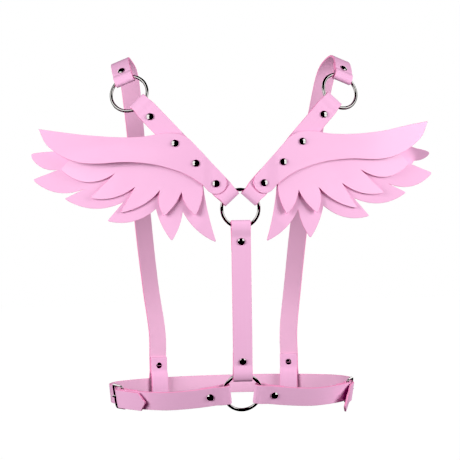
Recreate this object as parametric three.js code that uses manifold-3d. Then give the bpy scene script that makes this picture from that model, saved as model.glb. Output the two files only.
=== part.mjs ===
// Angel wing harness: a leather body harness with layered feather wings on the back.
// Millimetres. +Z is up, +Y is the wearer's front, +X is the wearer's right.
// The origin is on the centre plane, level with the tops of the shoulder straps.

import * as THREE from 'three';
import { mergeVertices } from 'three/addons/utils/BufferGeometryUtils.js';
import Module from 'manifold-3d';

const wasm = await Module();
wasm.setup();

const vec = (x, y, z) => new THREE.Vector3(x, y, z);
const radians = THREE.MathUtils.degToRad;

// Leather, and the gap kept between pieces
const STRAP_WIDTH = 20;
const BACK_STRAP_WIDTH = 21.5;
const FOLD_WIDTH = 19.5;
const STRAP_THICK = 2;
const FEATHER_THICK = 1.6;
const GAP = 0.3;

// O-rings: radius to the middle of the wire, and the wire's own radius
const RING = { radius: 19.25, wire: 1.75, steps: 30 };
const WIRE_SIDES = 6;

// Ring centres and the directions that the rings face, on the wearer's right
const SHOULDER_RING = { at: vec(110.2, -86, -38.2), out: vec(0.33, -0.885, 0.33) };
const BACK_RING = { at: vec(0, -110, -159), out: vec(0, -1, 0) };
const WAIST_RING = { at: vec(0, -95, -349), out: vec(0, -0.966, -0.259) };

// Cap rivets, and their distances from the centre of the ring that the strap leaves; on the back straps
// they sit a little to one side of the middle
const RIVET = { cap: 3.75, dome: 2.2, post: 1.5, foot: 3.4, footThick: 0.8, sides: 10, holeSides: 6 };
const RIVET_AT = { shoulder: 27.8, spineTop: 34, spineBottom: 33.5, waist: 33.6 };
const BACK_RIVET = { s: 35.2, aside: -2 };
const WING_RIVETS = [{ s: 73.2, aside: -2.5 }, { s: 102.7, aside: -1.5 }, { s: 131.7, aside: -1 }];
const FLAP_PAST_RIVET = 9;

// A strap's fold at a ring: where the two layers start to close, where they lie flat, and the room
// left round the wire and inside the ring
const RING_FOLD = { reach: 20.8, flat: 24, slack: 0.5, inside: 0.6, steps: 5 };

// Back strap between its rings: share of the way down, depth there, and the direction that it faces
const BACK_MIDDLE = { share: 0.31, y: -101.5, out: vec(0.21, -0.972, 0.11) };

// Shoulder strap: lean from upright seen from behind, then its way over the shoulder from the ring, as
// height in the ring's plane, depth behind that plane and the turn of its face
const SHOULDER_LEAN = 16;
const SHOULDER_ROWS = [
  { up: 0, behind: 0, turn: 0 }, { up: 9, behind: 0, turn: 0 }, { up: 18, behind: 0, turn: 0 },
  { up: 24, behind: 0.9, turn: 17 }, { up: 30, behind: 3.5, turn: 28 }, { up: 37, behind: 7.6, turn: 33 },
  { up: 43.5, behind: 12.6, turn: 43 }, { up: 48.5, behind: 20, turn: 66 },
  { up: 50, behind: 30, turn: 94 }, { up: 46, behind: 43, turn: 118 },
];

// Chest: where the shoulder straps run down the front, on the wearer's right
const CHEST_LINE = [
  { at: vec(99.5, 3, -60), out: vec(0.35, 0.7, 0.62) },
  { at: vec(93, 42, -120), out: vec(0.32, 0.85, 0.42) },
  { at: vec(87, 68, -180), out: vec(0.36, 0.92, 0.14) },
  { at: vec(80, 77, -245), out: vec(0.42, 0.9, 0) },
];

// Waist line on the wearer's right, from the back round to the front, with the belt's tilt downward
const WAIST_FALL = 6;
const WAIST_LINE = [
  { x: 45, y: -90.4, z: -354.2, tilt: 17 },
  { x: 75, y: -78, z: -357, tilt: 18 },
  { x: 103, y: -56, z: -357, tilt: 15 },
  { x: 119.7, y: -35, z: -356.2, tilt: 11 },
  { x: 126.9, y: -17, z: -355.4, tilt: 9 },
  { x: 130, y: 1, z: -355, tilt: 7 },
  { x: 129.5, y: 20, z: -355, tilt: 4 },
  { x: 121, y: 42, z: -355, tilt: 0 },
  { x: 102, y: 60, z: -355, tilt: 0 },
  { x: 74, y: 75, z: -355, tilt: 0 },
  { x: 38, y: 85, z: -355, tilt: 0 },
  { x: 0, y: 88, z: -355, tilt: 0 },
];
const NEAR_BAR_ROW = 3;
const FAR_BAR_ROW = 4;
const FRONT_LOOP_ROW = 9;

// Side buckles: wire frames whose near bars sit in the folds of the waist straps
const BUCKLE = { height: 24, corner: 1.6, wire: 1.1 };
const PRONG = { width: 2.4, thick: 1.6, eye: 2.6, rise: 0.14, start: -0.9, overhang: 2.6 };
const BAR_FOLD = { back: 10, inner: 1.65, reach: 12, flat: 18, flapEnd: 34, slot: 3.4 };

// The belt through a buckle: distance past the near bar towards the front, and height over the waist line
const BELT_THROUGH_BUCKLE = [
  { s: -2, v: 5.1 }, { s: 3.5, v: 5.1 }, { s: 7.5, v: 3.2 }, { s: 12.5, v: 0 },
  { s: 17.8, v: -2.4 }, { s: 24, v: -2.4 }, { s: 44, v: 0 },
];

// The belt's free ends: the left one lifts a little at its point, the right one stands off and droops
const LEFT_TAIL = [
  { s: -38, v: 6.5, half: 1.5 }, { s: -30.5, v: 5.6 }, { s: -22, v: 4.9 }, { s: -10, v: 4.9 },
];
const RIGHT_TAIL = [
  { s: -31, v: 16, half: 1.5, drop: 6.5 }, { s: -25, v: 13.2, drop: 5 }, { s: -19, v: 10.2, drop: 2.8 },
  { s: -12, v: 7.2, drop: 1 }, { s: -6, v: 5.5 },
];

// Where a shoulder strap is turned up round the belt, measured up from below the belt
const BELT_LOOP = { below: 30, inner: 2.1, reach: 41, flat: 48, rivet: 54 };

// Feathers on the wearer's right, outermost first: the tip, the notch after it, how far the outer and
// inner edges belly out from straight, and how much of the tip is rounded off
const BACK_FEATHERS = [
  { tip: [213.6, -99.6], notch: [184.5, -115.3], outer: 0.8, inner: 6, blunt: 0.16 },
  { tip: [211, -124.8], notch: [158.4, -135.9], outer: 0, inner: 8.5, blunt: 0.08 },
  { tip: [179, -145.4], notch: [119.6, -150.4], outer: 0, inner: 8.3, blunt: 0.06 },
  { tip: [136.1, -169.3], notch: [86.5, -157.8], outer: 0, inner: 6.8, blunt: 0.05 },
  { tip: [71.5, -191], notch: [59.5, -161], outer: 2, inner: 1.9, blunt: 0.06 },
  { tip: [25.8, -193.3], notch: [38, -135.7], outer: 4.4, inner: -1.5, blunt: 0.05 },
];
const MIDDLE_FEATHERS = [
  { tip: [182.5, -115.3], notch: [127.7, -120.9], outer: 1, inner: 11, blunt: 0.06 },
  { tip: [153.3, -145.4], notch: [107.5, -134.8], outer: 0, inner: 5.6, blunt: 0.06 },
  { tip: [123.1, -161.2], notch: [82.2, -138.9], outer: 0, inner: 4.3, blunt: 0.06 },
  { tip: [79.2, -165.5], notch: [60.5, -141.3], outer: 3, inner: 2, blunt: 0.06 },
  { tip: [47, -166], notch: [38.6, -136], outer: 2.6, inner: 2.1, blunt: 0.06 },
];

// Roots of the two lower sheets, hidden under the top sheet, from the strap out to the first feather
const BACK_ROOT = [[38.5, -112], [58, -91], [75, -87], [125, -90], [187, -96.5]];
const MIDDLE_ROOT = [[39, -112], [58.5, -90.5], [75, -86.5], [125, -89.5], [165, -99]];

// Top sheet: one long feather whose round inner end covers the strap
const TOP_EDGE = [
  [52.5, -88], [57.8, -83.8], [65, -81.2], [77, -80.6], [98, -83.6], [124, -83.8], [153, -80.8],
  [182.5, -74.6], [203.8, -70.7],
];
const TOP_BELLY = [
  [197, -86], [187, -95.6], [174, -103.6], [161, -108.5], [145, -110.6], [120, -109.7], [95, -111.5],
  [77, -115.5], [59.5, -121.6], [49, -127.2], [38.8, -134.4],
];
const TOP_END = { x: 25.2, z: -132.6, radius: 11.4, from: -43, to: 137 };

// The sheets' curved surface: curl of the outer end per square millimetre past the curl line,
// and the step where the top sheet comes down onto the strap beside the lower sheets' inner edge
const CURL_LINE = 110;
const CURL = { back: 0.0024, middle: 0.0017, top: 0.0008 };
const STEP_DOWN = { low: 29, high: 38 };
const SHEET_COLUMNS = [4, 14, 22, STEP_DOWN.low, STEP_DOWN.high, 60, 85, 110, 132, 154, 176, 198, 222];
const SHEET_ROWS = [-200, -160, -144, -128, -96, -60];

const leather = new THREE.MeshStandardMaterial({ color: 0xf4b6da, roughness: 0.5, metalness: 0 });
const nickel = new THREE.MeshStandardMaterial({ color: 0xd9dadd, roughness: 0.12, metalness: 1 });

// A closed mesh with shared corners, right side out
function closed(geometry) {
  const bare = geometry.clone();
  bare.deleteAttribute('normal');
  bare.deleteAttribute('uv');
  const merged = mergeVertices(bare, 1e-4);
  const index = Array.from(merged.index.array);
  const corner = (i) => vec().fromBufferAttribute(merged.attributes.position, index[i]);
  const kept = [];
  let volume = 0;
  for (let i = 0; i < index.length; i += 3) {
    const face = index.slice(i, i + 3);
    if (new Set(face).size === 3) {
      kept.push(face);
      volume += corner(i).dot(corner(i + 1).cross(corner(i + 2)));
    }
  }
  merged.setIndex(kept.flatMap(([a, b, c]) => (volume < 0 ? [b, a, c] : [a, b, c])));
  return merged;
}

function toManifold(geometry) {
  const body = closed(geometry);
  const vertProperties = new Float32Array(body.attributes.position.array);
  const triVerts = new Uint32Array(body.index.array);
  return new wasm.Manifold(new wasm.Mesh({ numProp: 3, vertProperties, triVerts }));
}

function fromManifold(solid) {
  const mesh = solid.getMesh();
  const geometry = new THREE.BufferGeometry();
  geometry.setAttribute('position', new THREE.BufferAttribute(new Float32Array(mesh.vertProperties), 3));
  geometry.setIndex(new THREE.BufferAttribute(new Uint32Array(mesh.triVerts), 1));
  return geometry;
}

function cut(geometry, tools) {
  let solid = toManifold(geometry);
  for (const tool of tools) {
    solid = solid.subtract(toManifold(tool));
  }
  return fromManifold(solid);
}

// A skin through sections of like points: joined into a ring, or closed at its ends by strips
// between the first and the second half of each end section
function loft(sections, joined = false) {
  const sides = sections[0].length;
  const index = [];
  const quad = (a, b, c, d) => index.push(a, b, c, a, c, d);
  const spans = joined ? sections.length : sections.length - 1;
  for (let i = 0; i < spans; i += 1) {
    const here = i * sides;
    const next = ((i + 1) % sections.length) * sides;
    for (let j = 0; j < sides; j += 1) {
      const k = (j + 1) % sides;
      const corners = [here + j, here + k, next + k, next + j];
      quad(...(j < sides / 2 ? corners : [...corners.slice(1), corners[0]]));
    }
  }
  const end = (sections.length - 1) * sides;
  for (let j = 0; !joined && j < sides / 2 - 1; j += 1) {
    const k = sides - 1 - j;
    quad(j, k, k - 1, j + 1);
    quad(end + j, end + j + 1, end + k - 1, end + k);
  }
  const geometry = new THREE.BufferGeometry();
  const positions = sections.flat().flatMap((point) => point.toArray());
  geometry.setAttribute('position', new THREE.Float32BufferAttribute(positions, 3));
  geometry.setIndex(index);
  return closed(geometry);
}

// A round wire bent into a flat loop, in the plane of x and y
function wireLoop(points, radius) {
  const sections = points.map((point, i) => {
    const before = points[(i + points.length - 1) % points.length];
    const after = points[(i + 1) % points.length];
    const along = after.clone().sub(before).normalize();
    const aside = vec(along.y, -along.x, 0);
    return Array.from({ length: WIRE_SIDES }, (_, j) => {
      const angle = (2 * Math.PI * j) / WIRE_SIDES;
      const around = vec(0, 0, radius * Math.sin(angle)).addScaledVector(aside, radius * Math.cos(angle));
      return point.clone().add(around);
    });
  });
  return loft(sections, true);
}

// The line that a strap follows: rows of a point and the outward direction there
const RUN_DIVISIONS = 80;
function makeRun(rows) {
  const line = new THREE.CatmullRomCurve3(rows.map((row) => row.at));
  const facing = new THREE.CatmullRomCurve3(rows.map((row) => row.out));
  line.arcLengthDivisions = RUN_DIVISIONS * (rows.length - 1);
  const lengths = line.getLengths();
  const frame = (distance) => {
    const t = line.getUtoTmapping(0, distance);
    const along = line.getTangent(t);
    const out = facing.getPoint(t);
    out.addScaledVector(along, -out.dot(along)).normalize();
    return { at: line.getPoint(t), along, out, across: along.clone().cross(out) };
  };
  return { frame, length: line.getLength(), distanceAt: (row) => lengths[row * RUN_DIVISIONS] };
}

// Rows that leave a ring in a straight line, in the ring's own plane
const RING_ROWS = [0, 12, 25];
function straightFrom(ring, direction) {
  return RING_ROWS.map((d) => ({ at: ring.at.clone().addScaledVector(direction, d), out: ring.out }));
}

// The direction in a ring's plane that shows as (x, z) from behind
function inPlane(ring, x, z) {
  const y = -(x * ring.out.x + z * ring.out.z) / ring.out.y;
  return vec(x, y, z).normalize();
}

// Extra stations wherever a run turns, so that a strap's flat facets follow it closely
const MAX_TURN = radians(11);
const MAX_SPAN = 22;
const WALK_STEP = 1.5;
function follow(run, stations) {
  const filled = stations.map((row) => ({ half: STRAP_WIDTH / 2, drop: 0, ...row }));
  return filled.flatMap((start, i) => {
    const end = filled[i + 1] ?? start;
    const steps = Math.floor(Math.abs(end.s - start.s) / WALK_STEP);
    const added = [start];
    let turned = 0;
    let walked = 0;
    let before = run.frame(start.s);
    for (let step = 1; step < steps; step += 1) {
      const share = step / steps;
      const station = Object.fromEntries(Object.keys(start).map((key) => [
        key, THREE.MathUtils.lerp(start[key], end[key], share),
      ]));
      const here = run.frame(station.s);
      turned += Math.max(before.along.angleTo(here.along), before.out.angleTo(here.out));
      walked += WALK_STEP;
      before = here;
      if (turned > MAX_TURN || walked > MAX_SPAN) {
        added.push(station);
        turned = 0;
        walked = 0;
      }
    }
    return added;
  });
}

// A flat strap along a run: stations of distance s, height v over the line, half width and drop
function strap(run, rows) {
  const stations = follow(run, rows);
  const sections = stations.map((station, i) => {
    const before = stations[Math.max(i - 1, 0)];
    const after = stations[Math.min(i + 1, stations.length - 1)];
    const slope = new THREE.Vector2(after.s - before.s, after.v - before.v).normalize();
    const { at, along, out, across } = run.frame(station.s);
    const middle = at.addScaledVector(out, station.v).add(vec(0, 0, -station.drop));
    const face = out.clone().multiplyScalar(slope.x).addScaledVector(along, -slope.y);
    return [[-1, -1], [1, -1], [1, 1], [-1, 1]].map(([side, height]) => middle.clone()
      .addScaledVector(across, side * station.half)
      .addScaledVector(face, (height * STRAP_THICK) / 2));
  });
  return loft(sections);
}

// A strap end turned back round a bar: flap underneath, loop, then the strap on top
const LAP = (STRAP_THICK + GAP) / 2;
function foldedEnd({ bar, inner, reach, flat, flapEnd, width = STRAP_WIDTH, foldWidth = STRAP_WIDTH }) {
  const lift = inner + STRAP_THICK / 2;
  const loop = Array.from({ length: RING_FOLD.steps + 1 }, (_, i) => {
    const angle = Math.PI * (i / RING_FOLD.steps - 0.5);
    return { s: bar - lift * Math.cos(angle), v: lift * Math.sin(angle) };
  });
  const turned = [{ s: reach, v: -lift }, ...loop, { s: reach, v: lift }];
  const half = width / 2;
  return [
    { s: flapEnd, v: -LAP, half }, { s: flat, v: -LAP, half },
    ...turned.map((row) => ({ ...row, half: foldWidth / 2 })),
    { s: flat, v: LAP, half },
  ];
}

// At a ring the fold is straight across, so its loop starts where the ring crosses the strap's edges
function ringFold(rivetAt, width = STRAP_WIDTH) {
  const inner = RING.wire + RING_FOLD.slack;
  const ringAtEdge = Math.sqrt((RING.radius - RING.wire) ** 2 - (FOLD_WIDTH / 2) ** 2);
  const bar = ringAtEdge - RING_FOLD.inside + inner;
  const flapEnd = rivetAt + FLAP_PAST_RIVET;
  return foldedEnd({ bar, inner, ...RING_FOLD, flapEnd, width, foldWidth: FOLD_WIDTH });
}

const fromEnd = (end, stations) => stations.map((row) => ({ ...row, s: end - row.s })).reverse();

// A cap rivet through the layers between two heights, on the y axis
function rivetShape(low, high) {
  const seat = high + GAP;
  const foot = low - GAP - RIVET.footThick;
  const dome = [0.35, 0.7].map((turn) => (turn * Math.PI) / 2)
    .map((angle) => [RIVET.cap * Math.cos(angle), seat + RIVET.dome * Math.sin(angle)]);
  const profile = [
    [0, foot], [RIVET.foot, foot], [RIVET.foot, low - GAP], [RIVET.post, low - GAP], [RIVET.post, seat],
    [RIVET.cap, seat], ...dome, [0, seat + RIVET.dome],
  ];
  const points = profile.map(([radius, height]) => new THREE.Vector2(radius, height));
  return closed(new THREE.LatheGeometry(points, RIVET.sides));
}

function standOn(mesh, { at, out }) {
  mesh.position.copy(at);
  mesh.quaternion.setFromUnitVectors(vec(0, 1, 0), out);
  mesh.updateMatrix();
  return mesh;
}

// The hole for a rivet's post, through every layer
const HOLE_LENGTH = 40;
function rivetHole(frame) {
  const radius = (RIVET.post + GAP) / Math.cos(Math.PI / RIVET.holeSides);
  const tool = new THREE.CylinderGeometry(radius, radius, HOLE_LENGTH, RIVET.holeSides);
  return tool.applyMatrix4(standOn(new THREE.Mesh(tool), frame).matrix);
}

const harness = new THREE.Group();
const sides = { right: new THREE.Group(), left: new THREE.Group() };
sides.left.scale.x = -1;
harness.add(sides.right, sides.left);

function add(parent, name, geometry, material) {
  const mesh = new THREE.Mesh(geometry, material);
  mesh.name = name;
  parent.add(mesh);
  return mesh;
}

// The same piece on both sides
function addPair(name, geometry, material, place = (mesh) => mesh) {
  for (const [side, group] of Object.entries(sides)) {
    place(add(group, `${name}_${side}`, geometry, material));
  }
}

const DOUBLE = { low: -LAP - STRAP_THICK / 2, high: LAP + STRAP_THICK / 2 };
const BENT = { low: DOUBLE.low - 2 * GAP, high: DOUBLE.high };
const SINGLE = { low: LAP - STRAP_THICK / 2, high: DOUBLE.high };
const addRivetPair = (name, frame, { low, high }) => {
  addPair(name, rivetShape(low, high), nickel, (mesh) => standOn(mesh, frame));
};

// O-rings
const ringPoints = Array.from({ length: RING.steps }, (_, i) => {
  const angle = (2 * Math.PI * i) / RING.steps;
  return vec(Math.cos(angle), Math.sin(angle), 0).multiplyScalar(RING.radius);
});
const ringShape = wireLoop(ringPoints, RING.wire).rotateX(Math.PI / 2);
const ringFrame = ({ at, out }) => ({ at, out: out.clone().normalize() });
addPair('shoulder_ring', ringShape, nickel, (mesh) => standOn(mesh, ringFrame(SHOULDER_RING)));
standOn(add(harness, 'back_ring', ringShape, nickel), ringFrame(BACK_RING));
standOn(add(harness, 'waist_ring', ringShape, nickel), ringFrame(WAIST_RING));

// Diagonal back straps, from the shoulder rings to the back ring
const chord = BACK_RING.at.clone().sub(SHOULDER_RING.at);
const backMiddle = SHOULDER_RING.at.clone().addScaledVector(chord, BACK_MIDDLE.share).setY(BACK_MIDDLE.y);
const backRun = makeRun([
  ...straightFrom(SHOULDER_RING, inPlane(SHOULDER_RING, chord.x, chord.z)),
  { at: backMiddle, out: BACK_MIDDLE.out },
  ...straightFrom(BACK_RING, inPlane(BACK_RING, -chord.x, -chord.z)).reverse(),
]);
const backRivetFrames = [BACK_RIVET, ...WING_RIVETS].map(({ s, aside }) => {
  const { at, out, across } = backRun.frame(s);
  return { at: at.addScaledVector(across, aside), out };
});
const backHoles = backRivetFrames.map(rivetHole);
const backEnd = ringFold(backRun.length - WING_RIVETS.at(-1).s, BACK_STRAP_WIDTH);
const backStations = [...ringFold(BACK_RIVET.s, BACK_STRAP_WIDTH), ...fromEnd(backRun.length, backEnd)];
addPair('back_strap', cut(strap(backRun, backStations), backHoles), leather);
addRivetPair('back_strap_rivet', backRivetFrames[0], BENT);

// Shoulder straps: up from the shoulder rings, over the shoulders, down the chest and round the front belt
function waistRow({ x, y, z, tilt }, i) {
  const before = WAIST_LINE[i - 1] ?? WAIST_RING.at;
  const after = WAIST_LINE[i + 1] ?? { x: -WAIST_LINE[i - 1].x, y: WAIST_LINE[i - 1].y };
  const level = vec(after.y - before.y, before.x - after.x, 0).normalize();
  const out = level.multiplyScalar(Math.cos(radians(tilt))).setZ(-Math.sin(radians(tilt)));
  return { at: vec(x, y, z), out };
}
const waistRows = WAIST_LINE.map(waistRow);
const frontLoop = waistRows[FRONT_LOOP_ROW];
const lean = radians(SHOULDER_LEAN);
const shoulderUp = inPlane(SHOULDER_RING, Math.sin(lean), Math.cos(lean));
const overShoulder = SHOULDER_ROWS.map(({ up, behind, turn }) => ({
  at: SHOULDER_RING.at.clone().addScaledVector(shoulderUp, up).addScaledVector(SHOULDER_RING.out, -behind),
  out: SHOULDER_RING.out.clone().multiplyScalar(Math.cos(radians(turn)))
    .addScaledVector(shoulderUp, Math.sin(radians(turn))),
}));
const downToLoop = [2, 1, 0, -1].map((turn) => ({
  at: frontLoop.at.clone().add(vec(0, 0, turn * BELT_LOOP.below)),
  out: frontLoop.out,
}));
const shoulderRun = makeRun([...overShoulder, ...CHEST_LINE, ...downToLoop]);
const beltLoop = fromEnd(shoulderRun.length, foldedEnd({
  bar: BELT_LOOP.below - STRAP_WIDTH / 2 - GAP,
  ...BELT_LOOP,
  flapEnd: BELT_LOOP.rivet + FLAP_PAST_RIVET,
}));
const shoulderRivet = shoulderRun.frame(RIVET_AT.shoulder);
const loopRivet = shoulderRun.frame(shoulderRun.length - BELT_LOOP.rivet);
const shoulderStrap = strap(shoulderRun, [...ringFold(RIVET_AT.shoulder), ...beltLoop]);
addPair('shoulder_strap', cut(shoulderStrap, [shoulderRivet, loopRivet].map(rivetHole)), leather);
addRivetPair('shoulder_rivet', shoulderRivet, BENT);
addRivetPair('front_loop_rivet', loopRivet, DOUBLE);

// Spine strap, from the back ring down to the waist ring
const spineRun = makeRun([
  ...straightFrom(BACK_RING, vec(0, 0, -1)),
  ...straightFrom(WAIST_RING, inPlane(WAIST_RING, 0, 1)).reverse(),
]);
const spineRivets = {
  upper: spineRun.frame(RIVET_AT.spineTop),
  lower: spineRun.frame(spineRun.length - RIVET_AT.spineBottom),
};
const spineFoot = fromEnd(spineRun.length, ringFold(RIVET_AT.spineBottom));
const spineStrap = strap(spineRun, [...ringFold(RIVET_AT.spineTop), ...spineFoot]);
add(harness, 'spine_strap', cut(spineStrap, Object.values(spineRivets).map(rivetHole)), leather);
for (const [name, frame] of Object.entries(spineRivets)) {
  standOn(add(harness, `spine_rivet_${name}`, rivetShape(BENT.low, BENT.high), nickel), frame);
}

// Side buckles, flat between the rows of their two bars
const [nearBar, farBar] = [waistRows[NEAR_BAR_ROW], waistRows[FAR_BAR_ROW]];
const buckleLength = nearBar.at.distanceTo(farBar.at);
const buckleAlong = farBar.at.clone().sub(nearBar.at).normalize();
const buckleOut = nearBar.out.clone().add(farBar.out);
buckleOut.addScaledVector(buckleAlong, -buckleOut.dot(buckleAlong)).normalize();
const buckleBasis = new THREE.Matrix4()
  .makeBasis(buckleAlong, buckleOut.clone().cross(buckleAlong), buckleOut)
  .setPosition(nearBar.at);

const frameOutline = new THREE.Shape();
const { corner, height: frameHeight } = BUCKLE;
const CORNERS = [[1, 1, 0], [0, 1, 90], [0, 0, 180], [1, 0, 270]];
for (const [right, top, turn] of CORNERS) {
  const x = right ? buckleLength - corner : corner;
  const y = (top ? 1 : -1) * (frameHeight / 2 - corner);
  frameOutline.absarc(x, y, corner, radians(turn), radians(turn + 90));
}
const FRAME_STEPS = 1;
const framePoints = frameOutline.getPoints(FRAME_STEPS).slice(0, -1).map(({ x, y }) => vec(x, y, 0));
const inBuckle = (geometry) => geometry.applyMatrix4(buckleBasis);
addPair('buckle_frame', inBuckle(wireLoop(framePoints, BUCKLE.wire)), nickel);

// A prong with its eye round the near bar and its point over the far bar, or the slot that clears it
function prongShape(clear) {
  const eye = PRONG.eye + clear;
  const under = (u) => PRONG.start - clear + PRONG.rise * u;
  const reach = buckleLength + PRONG.overhang + clear;
  const rise = PRONG.thick + 2 * clear;
  const outline = new THREE.Shape();
  const [low, high] = [0, rise].map((lift) => Math.asin((under(eye) + lift) / eye));
  outline.absarc(0, 0, eye, high, low + 2 * Math.PI);
  outline.lineTo(reach, under(reach));
  outline.lineTo(reach, under(reach) + rise);
  outline.closePath();
  outline.holes.push(new THREE.Path().absarc(0, 0, BUCKLE.wire + GAP, 0, 2 * Math.PI));
  const width = PRONG.width + 2 * clear;
  const shape = new THREE.ExtrudeGeometry(outline, { depth: width, bevelEnabled: false, curveSegments: 6 });
  return inBuckle(shape.translate(0, 0, -width / 2).rotateX(Math.PI / 2));
}
addPair('buckle_prong', prongShape(0), nickel);

// Waist straps, from the waist ring to the near bars of the buckles
const waistFall = inPlane(WAIST_RING, Math.cos(radians(WAIST_FALL)), -Math.sin(radians(WAIST_FALL)));
const waistStart = straightFrom(WAIST_RING, waistFall);
const waistRun = makeRun([...waistStart, ...waistRows]);
const waistBar = waistRun.distanceAt(waistStart.length + NEAR_BAR_ROW);
const barFold = fromEnd(waistBar + BAR_FOLD.back, foldedEnd({ bar: BAR_FOLD.back, ...BAR_FOLD }));
const waistRivet = waistRun.frame(RIVET_AT.waist);
const foldLift = BAR_FOLD.inner + STRAP_THICK + GAP;
const prongSlot = inBuckle(new THREE.BoxGeometry(2 * foldLift, BAR_FOLD.slot, 2 * foldLift));
const waistStrap = strap(waistRun, [...ringFold(RIVET_AT.waist), ...barFold]);
addPair('waist_strap', cut(waistStrap, [rivetHole(waistRivet), prongSlot]), leather);
addRivetPair('waist_rivet', waistRivet, BENT);

// Front belt, from the right tail through both buckles to the left tail
const mirrored = ({ at, out }) => ({ at: at.clone().setX(-at.x), out: out.clone().setX(-out.x) });
const beltRun = makeRun([...waistRows, ...waistRows.slice(0, -1).map(mirrored).reverse()]);
const beltBar = beltRun.distanceAt(NEAR_BAR_ROW);
const pastBar = (stations) => stations.map((row) => ({ ...row, s: beltBar + row.s }));
const rightEnd = pastBar([...RIGHT_TAIL, ...BELT_THROUGH_BUCKLE]);
const leftEnd = fromEnd(beltRun.length, pastBar([...LEFT_TAIL, ...BELT_THROUGH_BUCKLE]));
const prongHole = prongShape(GAP);
const mirroredHole = prongHole.clone().applyMatrix4(new THREE.Matrix4().makeScale(-1, 1, 1));
const frontBelt = strap(beltRun, [...rightEnd, ...leftEnd]);
add(harness, 'front_belt', cut(frontBelt, [prongHole, mirroredHole]), leather);

// Wing sheets: depth of the surface, level with the strap's face beside it and curled at the outer end
const chordFlat = new THREE.Vector2(chord.x, chord.z).normalize();
const STRAP_STRETCH = { from: 70, to: 150 };
function wingDepth(x, z, lift, curl) {
  const fromRing = (px, pz) => new THREE.Vector2(px - SHOULDER_RING.at.x, pz - SHOULDER_RING.at.z);
  const offset = fromRing(x, z);
  const along = offset.dot(chordFlat);
  const aside = chordFlat.x * offset.y - chordFlat.y * offset.x;
  const near = backRun.frame(THREE.MathUtils.clamp(along, STRAP_STRETCH.from, STRAP_STRETCH.to));
  const reached = fromRing(near.at.x, near.at.z).dot(chordFlat);
  const slopeAlong = near.along.y / Math.hypot(near.along.x, near.along.z);
  const slopeAside = -near.across.y / Math.hypot(near.across.x, near.across.z);
  const curled = curl * Math.max(0, x - CURL_LINE) ** 2;
  return near.at.y + slopeAlong * (along - reached) + slopeAside * aside + lift / near.out.y + curled;
}

// A slab along that surface, from which a sheet is cut
function wingSlab(liftAt, curl) {
  const sections = SHEET_COLUMNS.map((x) => {
    const depth = (px, z) => wingDepth(px, z, liftAt(x), curl);
    const inner = SHEET_ROWS.map((z) => vec(x, depth(x, z), z));
    const outer = inner.map((point) => {
      const slope = depth(x + 0.5, point.z) - depth(x - 0.5, point.z);
      return point.clone().setY(point.y - FEATHER_THICK * Math.hypot(1, slope));
    });
    return [...inner, ...outer.reverse()];
  });
  return loft(sections);
}

// A sheet's outline: along its root, then round each feather with bellied edges and a rounded tip
const EDGE_STEPS = 4;
function feathersOutline(root, feathers) {
  const points = root.map(([x, z]) => new THREE.Vector2(x, z));
  const bellied = (from, to, belly) => {
    const chordLine = to.clone().sub(from);
    const aside = new THREE.Vector2(-chordLine.y, chordLine.x).normalize();
    const control = from.clone().add(to).multiplyScalar(0.5).addScaledVector(aside, 2 * belly);
    return new THREE.QuadraticBezierCurve(from, control, to);
  };
  for (const { tip, notch, outer, inner, blunt } of feathers) {
    const [tipPoint, notchPoint] = [tip, notch].map(([x, z]) => new THREE.Vector2(x, z));
    const toTip = bellied(points.at(-1).clone(), tipPoint, outer);
    const toNotch = bellied(tipPoint, notchPoint, inner);
    for (let i = 1; i <= EDGE_STEPS; i += 1) {
      points.push(toTip.getPoint((i / EDGE_STEPS) * (1 - blunt)));
    }
    const acrossTip = points.at(-1).clone().lerp(toNotch.getPoint(blunt), 0.5);
    points.push(acrossTip.lerp(tipPoint, 0.5));
    for (let i = 0; i <= EDGE_STEPS; i += 1) {
      points.push(toNotch.getPoint(blunt + (i / EDGE_STEPS) * (1 - blunt)));
    }
  }
  return new THREE.Shape(points);
}

function topOutline() {
  const toPoints = (rows) => rows.map(([x, z]) => new THREE.Vector2(x, z));
  const outline = new THREE.Shape();
  outline.moveTo(...TOP_EDGE[0]);
  outline.splineThru(toPoints(TOP_EDGE.slice(1)));
  outline.splineThru(toPoints(TOP_BELLY));
  outline.absarc(TOP_END.x, TOP_END.z, TOP_END.radius, radians(TOP_END.from), radians(TOP_END.to), true);
  return outline;
}

const PRISM = { front: -30, depth: 130 };
function wingSheet(outline, liftAt, curl, holes) {
  const settings = { depth: PRISM.depth, bevelEnabled: false, curveSegments: 3 };
  const prism = new THREE.ExtrudeGeometry(outline, settings);
  prism.rotateX(Math.PI / 2).translate(0, PRISM.front, 0);
  const sheet = toManifold(wingSlab(liftAt, curl)).intersect(toManifold(prism));
  return cut(fromManifold(sheet), holes);
}

// The three sheets of each wing, stacked on the strap and held by three rivets
const backLift = SINGLE.high + GAP;
const middleLift = backLift + FEATHER_THICK + GAP;
const topLift = middleLift + FEATHER_THICK + GAP;
const steppedLift = (x) => THREE.MathUtils.mapLinear(
  THREE.MathUtils.clamp(x, STEP_DOWN.low, STEP_DOWN.high), STEP_DOWN.low, STEP_DOWN.high, backLift, topLift,
);
const wingHoles = backHoles.slice(1);
const twoHoles = wingHoles.slice(0, 2);
const backOutline = feathersOutline(BACK_ROOT, BACK_FEATHERS);
const middleOutline = feathersOutline(MIDDLE_ROOT, MIDDLE_FEATHERS);
addPair('wing_back', wingSheet(backOutline, () => backLift, CURL.back, twoHoles), leather);
addPair('wing_middle', wingSheet(middleOutline, () => middleLift, CURL.middle, twoHoles), leather);
addPair('wing_top', wingSheet(topOutline(), steppedLift, CURL.top, wingHoles), leather);

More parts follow.
